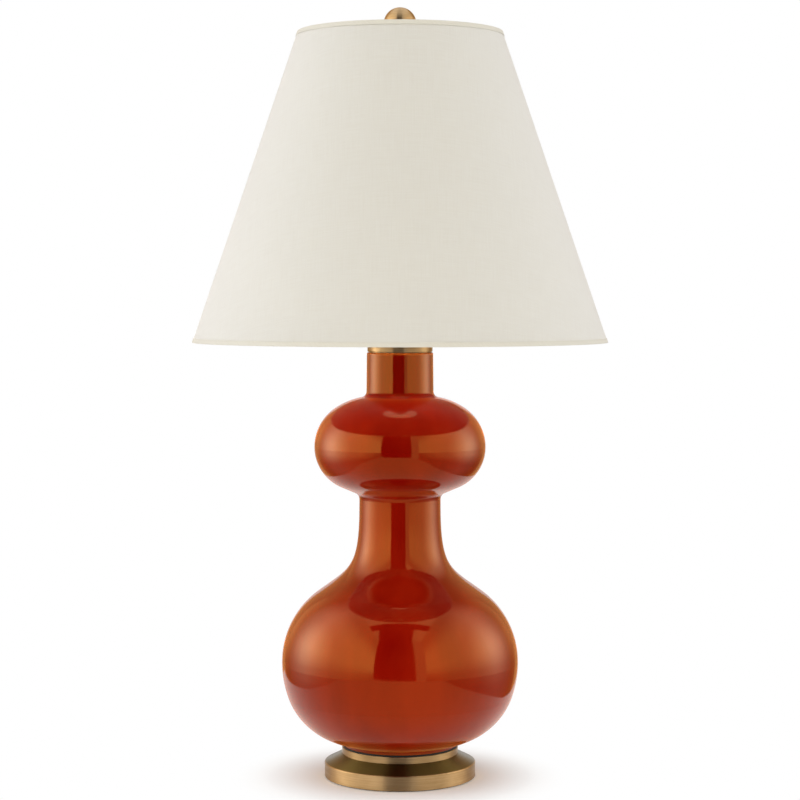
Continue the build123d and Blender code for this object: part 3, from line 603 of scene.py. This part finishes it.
@dataclass
class BrassBase(SubAssembly):
    """Felted, weighted base of spun brass with its ring, gasket, bushing and threaded pipe."""

    dressing: Dressing = (
        (Slot.FELT, ("felt_pad",)),
        (Slot.ANTIQUE_BRASS, ("base_plinth", "seat_ring")),
        (Slot.RUBBER, ("base_gasket",)),
        (Slot.PHENOLIC, ("cord_bushing",)),
        (Slot.CAST_IRON, ("base_weight",)),
        (Slot.ZINC_STEEL, ("lock_washer", "lamp_pipe", "foot_washer")),
        (Slot.SOCKET_BRASS, ("lock_nut",)),
    )


@dataclass
class GourdBody(SubAssembly):
    """Glazed double gourd shell."""

    dressing: Dressing = ((Slot.GLAZE, ("ceramic_body",)),)


@dataclass
class NeckFittings(SubAssembly):
    """Cap, nut and riser above the ceramic neck."""

    dressing: Dressing = (
        (Slot.ANTIQUE_BRASS, ("body_cap", "riser")),
        (Slot.SOCKET_BRASS, ("cap_nut",)),
    )


@dataclass
class Harp(SubAssembly):
    """Saddle, bow, stud and the two locking ferrules."""

    dressing: Dressing = (
        (Slot.ANTIQUE_BRASS, ("harp_saddle", "harp_bow", "harp_stud", "ferrule_left", "ferrule_right")),
    )


@dataclass
class KeySocket(SubAssembly):
    """Turn-key lamp socket."""

    dressing: Dressing = (
        (Slot.SOCKET_BRASS, ("socket_cap", "socket_shell", "centre_contact", "terminal_screws")),
        (Slot.ZINC_STEEL, ("switch_shaft",)),
        (Slot.FIBRE, ("socket_liner",)),
        (Slot.PHENOLIC, ("socket_block",)),
        (Slot.ALUMINIUM, ("screw_shell",)),
        (Slot.KNOB_PLASTIC, ("switch_knob",)),
    )


@dataclass
class FrostedBulb(SubAssembly):
    """Frosted lamp bulb with its screw cap."""

    dressing: Dressing = (
        (Slot.FROSTED_GLASS, ("bulb_glass",)),
        (Slot.ALUMINIUM, ("bulb_cap",)),
        (Slot.BLACK_GLASS, ("bulb_insulator",)),
        (Slot.SOLDER, ("bulb_contact",)),
    )


@dataclass
class EmpireShade(SubAssembly):
    """Hardback empire shade with its hems, wire rings and spider. Metres."""

    dressing: Dressing = (
        (Slot.SHADE_PAPER, ("shade_panel",)),
        (Slot.SHADE_TAPE, ("shade_top_trim", "shade_bottom_trim")),
        (Slot.RING_STEEL, ("shade_top_ring", "shade_bottom_ring", "spider_arms", "spider_washer")),
    )
    foot_radius: float = 0.2058
    foot: float = 0.4334
    rim: float = 0.7388
    lean: float = 0.34185      # loss of radius with height
    hem: float = 0.0044
    panel_depth: float = 0.0005
    panel_skin: float = 0.001
    seam_width: float = 0.011
    seam_lift: float = 0.00042
    seam_sunk: float = 0.0001  # how far the seam's long edges lie in the linen
    seam_ramps: tuple[float, float] = (3.2, 9.0)  # each rises over one part in so many of the width
    seam_steps: int = 48
    seam_across: int = 10
    lining_skin: float = 0.00025
    lining_around: int = 144
    arms: int = 3
    ring_level: float = 0.7367
    ring_radius: float = 0.09884
    ring_inset: float = 0.0016     # from the wire's middle to that of its bead
    ring_bead: tuple[float, float, float] = (0.0026, 0.0021, 0.0019)
    washer_level: float = 0.7295
    washer_radius: float = 0.0112
    washer_drop: float = 0.0008    # of the washer's bead
    washer_bead: tuple[float, float, float] = (0.0027, 0.0022, 0.0016)
    bead_wave: float = 0.07        # unevenness of a bead, as a share of its size

    def radius(self, height: float, depth: float) -> float:
        """Radius at a height, some way in from the shade's outer face.

        Args:
            height: Above the table.
            depth: Into the shade, square to its face.

        Returns:
            The radius about the lamp's axis.
        """
        return self.foot_radius - (height - self.foot) * self.lean - depth * math.sqrt(1 + self.lean**2)

    def seam(self) -> bmesh.types.BMesh:
        """Glued overlap of the linen down the rear.

        Returns:
            A low strip whose long edges are sunk in the panel.
        """
        made = bmesh.new()
        low, high = self.foot + self.hem, self.rim - self.hem
        rise, fall = self.seam_ramps
        rows = []
        for i in range(self.seam_steps + 1):
            height = low + (high - low) * i / self.seam_steps
            row = []
            for j in range(self.seam_across + 1):
                offset = (j / self.seam_across - 0.5) * self.seam_width
                edge = min(1.0, rise * j / self.seam_across, fall * (1 - j / self.seam_across))
                lift = self.seam_lift * math.sin(edge * math.pi / 2) - self.seam_sunk
                radius = self.radius(height, self.panel_depth) + lift
                angle = math.pi / 2 + offset / radius
                row.append(made.verts.new((radius * math.cos(angle), radius * math.sin(angle), height)))
            rows.append(row)
        for lower, upper in zip(rows, rows[1:]):
            for j in range(self.seam_across):
                made.faces.new((lower[j], lower[j + 1], upper[j + 1], upper[j]))
        return made

    def lining(self) -> bmesh.types.BMesh:
        """White styrene sheet on the inside of the linen.

        Returns:
            A thin closed sleeve.
        """
        made = bmesh.new()
        low, high = self.foot + self.hem, self.rim - self.hem
        inner = self.panel_depth + self.panel_skin
        outer = inner + self.lining_skin
        around = self.lining_around
        loops = []
        for height, depth in ((low, inner), (high, inner), (high, outer), (low, outer)):
            radius = self.radius(height, depth)
            loops.append([
                made.verts.new((radius * math.cos(2 * math.pi * k / around),
                                radius * math.sin(2 * math.pi * k / around), height))
                for k in range(around)
            ])
        for first, second in zip(loops, loops[1:] + loops[:1]):
            for k in range(around):
                made.faces.new((first[k], first[(k + 1) % around], second[(k + 1) % around], second[k]))
        return made

    def welds(self) -> bmesh.types.BMesh:
        """Small beads of weld where the spider's arms meet the ring and the washer.

        Returns:
            Six low lumps in one mesh.
        """
        made = bmesh.new()
        for arm in range(self.arms):
            angle = math.radians(90 + 360 / self.arms * arm)
            outward = Vector((math.cos(angle), math.sin(angle), 0))
            side = Vector((-outward.y, outward.x, 0))
            for reach, level, size in (
                (self.ring_radius - self.ring_inset, self.ring_level, self.ring_bead),
                (self.washer_radius, self.washer_level - self.washer_drop, self.washer_bead),
            ):
                bead = bmesh.ops.create_icosphere(made, subdivisions=3, radius=1.0)["verts"]
                for vert in bead:
                    wave = 1 + self.bead_wave * math.sin(5 * vert.co.x + 3 * arm) * math.cos(4 * vert.co.y)
                    spot = outward * (reach + vert.co.x * size[0] * wave) + side * vert.co.y * size[1] * wave
                    vert.co = spot + Vector((0, 0, level + vert.co.z * size[2] * wave))
        return made

    def build(self, shop: Workshop) -> None:
        """Dress the shade and add its seam, lining and welds.

        Args:
            shop: Holds the materials.
        """
        super().build(shop)
        shop.add_piece("shade_seam", self.seam(), Body.SHADE, Slot.SHADE_PAPER)
        shop.add_piece("shade_lining", self.lining(), Body.SHADE, Slot.SHADE_PAPER)
        shop.add_piece("spider_welds", self.welds(), Body.SHADE, Slot.RING_STEEL)


@dataclass
class BallFinial(SubAssembly):
    """Brass ball finial."""

    dressing: Dressing = ((Slot.ANTIQUE_BRASS, ("finial_base", "finial_ball")),)


# ---------------------------------------------------------------- the studio
class Card(Enum):
    """Cards of the light tent round the lamp: glowing ones, and black ones that gloss shows."""

    LEFT = "left"
    RIGHT = "right"
    ROOF = "roof"
    FRONT_RIGHT = "front_right"
    SLOT = "slot"
    SLOT_ABOVE = "slot_above"
    BAR = "bar"
    REAR_LEFT = "rear_left"
    REAR_RIGHT = "rear_right"
    REAR_ABOVE = "rear_above"


# These show in reflections, and neither light the lamp nor shade it.
ONLY_MIRRORED = (Card.SLOT_ABOVE, Card.BAR, Card.REAR_LEFT, Card.REAR_RIGHT, Card.REAR_ABOVE)


def studio_face(
    name: str,
    corners: Sequence[tuple[float, float, float]],
) -> tuple[bpy.types.Object, bpy.types.NodeTree]:
    """Make one flat face for the studio, with an empty material.

    Args:
        name: Its name.
        corners: Its corners, in order.

    Returns:
        The new object and its material's node tree.
    """
    mesh = bpy.data.meshes.new(name)
    mesh.from_pydata(list(corners), [], [tuple(range(len(corners)))])
    piece = bpy.data.objects.new(name, mesh)
    bpy.context.scene.collection.objects.link(piece)
    material = bpy.data.materials.new(name)
    material.use_nodes = True
    material.node_tree.nodes.clear()
    mesh.materials.append(material)
    return piece, material.node_tree


@dataclass(frozen=True)
class Softbox:
    """Area light that neither the camera nor a reflection shows."""

    name: str
    size: tuple[float, float]
    watts: float
    colour: tuple[float, float, float]
    spot: tuple[float, float, float]
    tilt: float                # degrees from straight down
    spread: float              # degrees

    def hang(self) -> None:
        """Hang the light at its spot."""
        light = bpy.data.lights.new(self.name, "AREA")
        light.shape = "RECTANGLE"
        light.size, light.size_y = self.size
        light.energy = self.watts
        light.color = self.colour
        light.spread = math.radians(self.spread)
        lamp = bpy.data.objects.new(self.name, light)
        lamp.location = self.spot
        lamp.rotation_euler = (math.radians(self.tilt), 0, 0)
        lamp.visible_glossy = lamp.visible_camera = False
        bpy.context.scene.collection.objects.link(lamp)


@dataclass
class Studio:
    """White light tent with a dark slot at the camera, over a small pale table. Metres."""

    wall_x: float = 1.15
    wall_back: float = 1.75
    wall_front: float = -2.5
    low: float = -0.8
    high: float = 2.42
    under_roof: float = 0.02   # how far the black cards overhead hang under the roof
    slot_right: float = 0.67
    slot_above: tuple[float, float] = (-0.82, 0.58)
    bar: tuple[float, float] = (-1.46, -1.04)
    rear: float = 4.0
    rear_low: float = 1.4      # over the camera's view
    glow: tuple[float, float, float] = (0.91, 0.73, 0.74)   # left wall, right wall, roof
    front_glow: float = 1.2    # of the white card to the right of the slot
    mirrored: float = 2.3      # how much brighter the walls are in a reflection
    roof_mirrored: float = 2.3
    mirrored_colour: str = "#FFF6E2"  # the walls reflect warmer than the light they give
    fade: tuple[float, float] = (0.15, 1.1)  # the walls grow dimmer and warmer from here to there
    rear_share: float = 0.5
    rear_glow: float = 0.9
    rear_colour: str = "#E2B674"
    hot_spot: tuple[float, float] = (0.15, 0.35)
    hot_reach: float = 0.75
    hot_glow: float = 0.95
    # Stretches of height over which the walls' light changes: its start and end, and the share at each.
    heights: tuple[tuple[float, float, float, float], ...] = (
        (-0.3, 0.45, 0.32, 1.48), (0.9, 2.0, 1.0, 0.5))
    shadow_reach: tuple[float, float] = (0.06, 0.17)
    table: tuple[tuple[float, float], ...] = (
        (-0.36, 0.5), (-0.36, -0.02), (-0.49, -0.32), (-0.6, -0.97), (-0.56, -1.25),
        (0.3, -1.15), (0.37, -0.95), (0.39, -0.48), (0.31, -0.11), (0.26, 0.09), (0.26, 0.5))
    table_level: float = -0.0003
    table_colour: str = "#FAF9F7"
    table_hole: float = 0.068  # clear under the base, so that the felt is lit in a view from below
    world_light: float = 0.55  # of the world, next to what the camera and reflections see
    softboxes: tuple[Softbox, ...] = (
        Softbox("front_fill", (1.6, 1.2), 15.0, (1.0, 0.87, 0.6), (0.1, -2.3, 1.1), 72, 180),
        Softbox("top_light", (0.13, 0.13), 0.3, (1.0, 0.93, 0.82), (0.0, 0.0, 0.722), 0, 70),
    )
    lens: float = 97.34        # millimetres
    sensor: float = 36.0       # millimetres
    eye: tuple[float, float, float] = (0.0, -2.1463, 0.4819)
    tilt: float = 0.0493       # radians below the horizon

    def card(
        self,
        card: Card,
        corners: Sequence[tuple[float, float, float]],
        glow: float,
        hot: float = 0.0,
        mirrored: float = 1.0,
        colour: str = "#FFFFFF",
    ) -> None:
        """Hang one card of the tent, which the camera doesn't see.

        Args:
            card: Which card it is.
            corners: Its four corners, in order.
            glow: How bright it is all over.
            hot: How much brighter a side wall is at its lamp head. Zero for a card with an even light.
            mirrored: How much brighter it is in a reflection.
            colour: Its colour.
        """
        piece, tree = studio_face(f"tent_{card.value}", corners)
        piece.visible_camera = False
        if card in ONLY_MIRRORED:
            piece.visible_diffuse = piece.visible_shadow = False
        uneven = hot > 0.0
        rear_share, warmth = (self.rear_share, 1.0) if uneven else (1.0, 0.0)
        where = place(tree)
        axes = add_node(tree, "ShaderNodeSeparateXYZ", links={0: where}).outputs
        gap = add_node(tree, "ShaderNodeVectorMath", {"operation": "DISTANCE"}, {
            0: where, 1: (corners[0][0], *self.hot_spot)})
        gloss = add_node(tree, "ShaderNodeLightPath").outputs["Is Glossy Ray"]
        strength = add_node(tree, "ShaderNodeMapRange", SMOOTH, {
            "Value": gap.outputs["Value"], "From Max": self.hot_reach,
            "To Min": glow + hot, "To Max": glow})
        factors = [
            add_node(tree, "ShaderNodeMapRange", links={
                "Value": gloss, "To Min": 1.0, "To Max": mirrored}),
            add_node(tree, "ShaderNodeMapRange", SMOOTH, {
                "Value": axes[1], "From Min": self.fade[0], "From Max": self.fade[1],
                "To Min": 1.0, "To Max": rear_share}),
        ]
        for start, end, first, last in self.heights if uneven else ():
            factors.append(add_node(tree, "ShaderNodeMapRange", SMOOTH, {
                "Value": axes[2], "From Min": start, "From Max": end, "To Min": first, "To Max": last}))
        for factor in factors:
            strength = add_node(tree, "ShaderNodeMath", {"operation": "MULTIPLY"}, {
                0: strength.outputs[0], 1: factor.outputs[0]})
        warm = add_node(tree, "ShaderNodeMapRange", links={
            "Value": axes[1], "From Min": self.fade[0], "From Max": self.fade[1], "To Max": warmth})
        near = mixed(tree, gloss, linear(colour), linear(self.mirrored_colour if uneven else colour))
        tone = mixed(tree, warm.outputs[0], near, linear(self.rear_colour))
        shine = add_node(tree, "ShaderNodeEmission", links={"Color": tone, "Strength": strength.outputs[0]})
        add_node(tree, "ShaderNodeOutputMaterial", links={0: shine.outputs[0]})

    def hang_tent(self) -> None:
        """Hang the walls and roof, the cards round the camera and the warm ones behind the lamp."""
        x, back, front, low, high = self.wall_x, self.wall_back, self.wall_front, self.low, self.high
        rear, under = self.rear, self.high - self.under_roof
        for card, side, glow in ((Card.LEFT, -x, self.glow[0]), (Card.RIGHT, x, self.glow[1])):
            self.card(
                card, [(side, front, low), (side, back, low), (side, back, high), (side, front, high)],
                glow, self.hot_glow * glow, self.mirrored)
        self.card(
            Card.ROOF, [(-x, front, high), (x, front, high), (x, back, high), (-x, back, high)],
            self.glow[2], mirrored=self.roof_mirrored)
        for card, left, right, glow in (
            (Card.FRONT_RIGHT, self.slot_right, x, self.front_glow),
            (Card.SLOT, -x, self.slot_right, 0.0),
        ):
            self.card(
                card, [(left, front, low), (right, front, low), (right, front, high), (left, front, high)],
                glow)
        near, far = self.bar
        left, right = self.slot_above
        self.card(Card.SLOT_ABOVE, [
            (-x, front, under), (self.slot_right, front, under), (right, near, under), (left, near, under)],
            0.0)
        self.card(Card.BAR, [(-x, near, under), (x, near, under), (x, far, under), (-x, far, under)], 0.0)
        for card, side in ((Card.REAR_LEFT, -x), (Card.REAR_RIGHT, x)):
            self.card(
                card, [(side, back, low), (side, rear, low), (side, rear, high), (side, back, high)],
                self.rear_glow, colour=self.rear_colour)
        self.card(Card.REAR_ABOVE, [
            (-x, rear, self.rear_low), (x, rear, self.rear_low), (x, back, high), (-x, back, high)],
            self.rear_glow, colour=self.rear_colour)

    def lay_table(self) -> None:
        """Lay a pale table that keeps the lamp's shadow and fades to white.

        It is clear from below, and in a round hole under the base.
        """
        table, tree = studio_face("table", [(x, y, self.table_level) for x, y in self.table])
        distance = add_node(tree, "ShaderNodeVectorMath", {"operation": "LENGTH"}, {0: place(tree)})
        fade = add_node(tree, "ShaderNodeMapRange", SMOOTH, {
            "Value": distance.outputs["Value"],
            "From Min": self.shadow_reach[0], "From Max": self.shadow_reach[1]})
        share = add_node(tree, "ShaderNodeMath", {"operation": "MULTIPLY"}, {
            0: fade.outputs[0], 1: seen(tree)})
        plain = add_node(tree, "ShaderNodeBsdfDiffuse", links={"Color": linear(self.table_colour)})
        white = add_node(tree, "ShaderNodeEmission")
        surface = add_node(tree, "ShaderNodeMixShader", links={
            0: share.outputs[0], 1: plain.outputs[0], 2: white.outputs[0]})
        hole = add_node(tree, "ShaderNodeMath", {"operation": "LESS_THAN"}, {
            0: distance.outputs["Value"], 1: self.table_hole})
        below = add_node(tree, "ShaderNodeNewGeometry").outputs["Backfacing"]
        opening = add_node(tree, "ShaderNodeMath", {"operation": "MAXIMUM"}, {
            0: below, 1: hole.outputs[0]})
        clear = add_node(tree, "ShaderNodeBsdfTransparent")
        top = add_node(tree, "ShaderNodeMixShader", links={
            0: opening.outputs[0], 1: surface.outputs[0], 2: clear.outputs[0]})
        add_node(tree, "ShaderNodeOutputMaterial", links={0: top.outputs[0]})

    def light_world(self) -> None:
        """White to the camera and to reflections, and a plain level of light to the rest."""
        world = bpy.data.worlds.new("studio")
        bpy.context.scene.world = world
        world.use_nodes = True
        tree = world.node_tree
        tree.nodes.clear()
        strength = add_node(tree, "ShaderNodeMapRange", links={
            "Value": seen(tree), "To Min": self.world_light, "To Max": 1.0})
        sky = add_node(tree, "ShaderNodeBackground", links={
            "Color": (1, 1, 1, 1), "Strength": strength.outputs[0]})
        add_node(tree, "ShaderNodeOutputWorld", links={0: sky.outputs[0]})

    def hang_softboxes(self) -> None:
        """Warm soft fill from above the camera, and the light that falls in through the shade's top."""
        for softbox in self.softboxes:
            softbox.hang()

    def set_camera(self) -> None:
        """Stand the camera at the photograph's place and tilt."""
        view = bpy.data.cameras.new("camera")
        view.lens = self.lens
        view.sensor_width = self.sensor
        camera = bpy.data.objects.new("camera", view)
        camera.location = self.eye
        camera.rotation_euler = (math.pi / 2 - self.tilt, 0, 0)
        bpy.context.scene.collection.objects.link(camera)
        bpy.context.scene.camera = camera

    def build(self) -> None:
        """Set up the whole studio."""
        self.set_camera()
        self.light_world()
        self.hang_tent()
        self.lay_table()
        self.hang_softboxes()
        bpy.context.scene.view_settings.view_transform = "Standard"
        log.info("studio is set")


def main() -> None:
    """Build the lamp's looks in order, then the studio."""
    logging.basicConfig(level=logging.INFO, format="%(message)s")
    shop = Workshop(FINISHES)
    for part in (
        BrassBase(), GourdBody(), NeckFittings(), Harp(),
        KeySocket(), FrostedBulb(), EmpireShade(), BallFinial(),
    ):
        part.build(shop)
    Studio().build()


if __name__ == "__main__":
    main()
